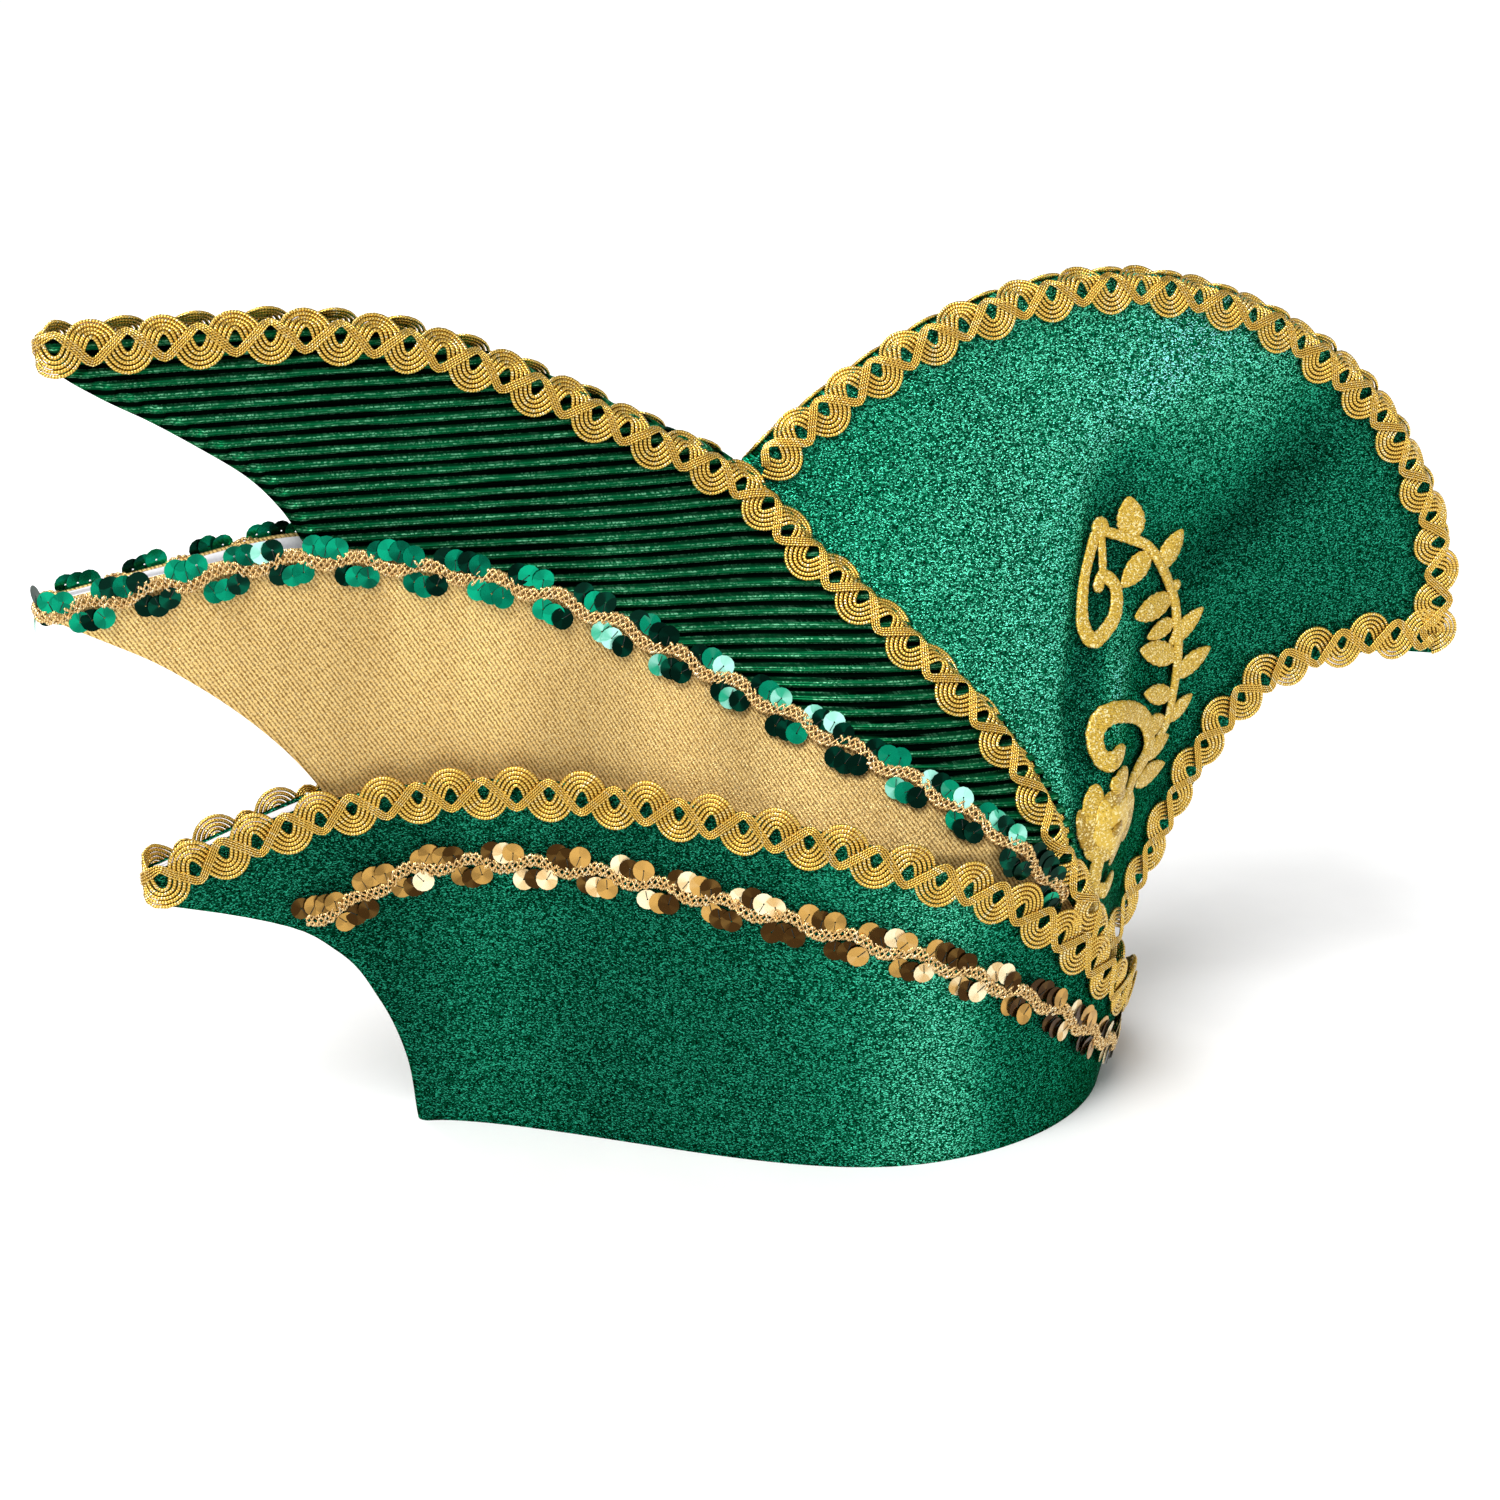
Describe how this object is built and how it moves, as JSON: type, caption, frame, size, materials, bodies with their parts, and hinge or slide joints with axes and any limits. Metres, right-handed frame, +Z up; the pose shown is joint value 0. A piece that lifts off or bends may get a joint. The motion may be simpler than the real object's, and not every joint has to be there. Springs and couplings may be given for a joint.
{
  "type": "carnival cap",
  "caption": "Boat-shaped carnival cap in green and gold lame: stepped tiers with pointed tails, a pleated wing, a tall front crest, gold scroll braid, sequin strings and an embroidered vine.",
  "frame": {"origin": "centre of the bounding box in plan, on the plane of the rim's lower edge", "axes": "+X from the tails to the crest's beak (the front of the cap), +Y to the wearer's left, +Z up"},
  "size_m": [0.4674, 0.169, 0.2631],
  "materials": {
    "green_lame": "metallic green lame weave",
    "gold_lame": "metallic gold lame weave",
    "pleated_satin": "finely pleated dark green satin",
    "white_card": "matt white card",
    "gold_braid": "metallic gold cord",
    "green_sequins": "mirror-bright green film",
    "gold_sequins": "mirror-bright gold film",
    "gold_embroidery": "gold thread embroidery"
  },
  "bodies": {
    "root": {"base_cover": "green_lame", "base_card": "white_card", "middle_cover": "gold_lame", "middle_card": "white_card", "pleated_wing": "pleated_satin", "front_crest": "green_lame", "base_braid": "gold_braid", "wing_braid": "gold_braid", "crest_braid_right": "gold_braid", "crest_braid_left": "gold_braid", "middle_sequins": "green_sequins", "base_sequins": "gold_sequins", "crest_applique_right": "gold_embroidery", "crest_applique_left": "gold_embroidery"}
  },
  "joints": []
}
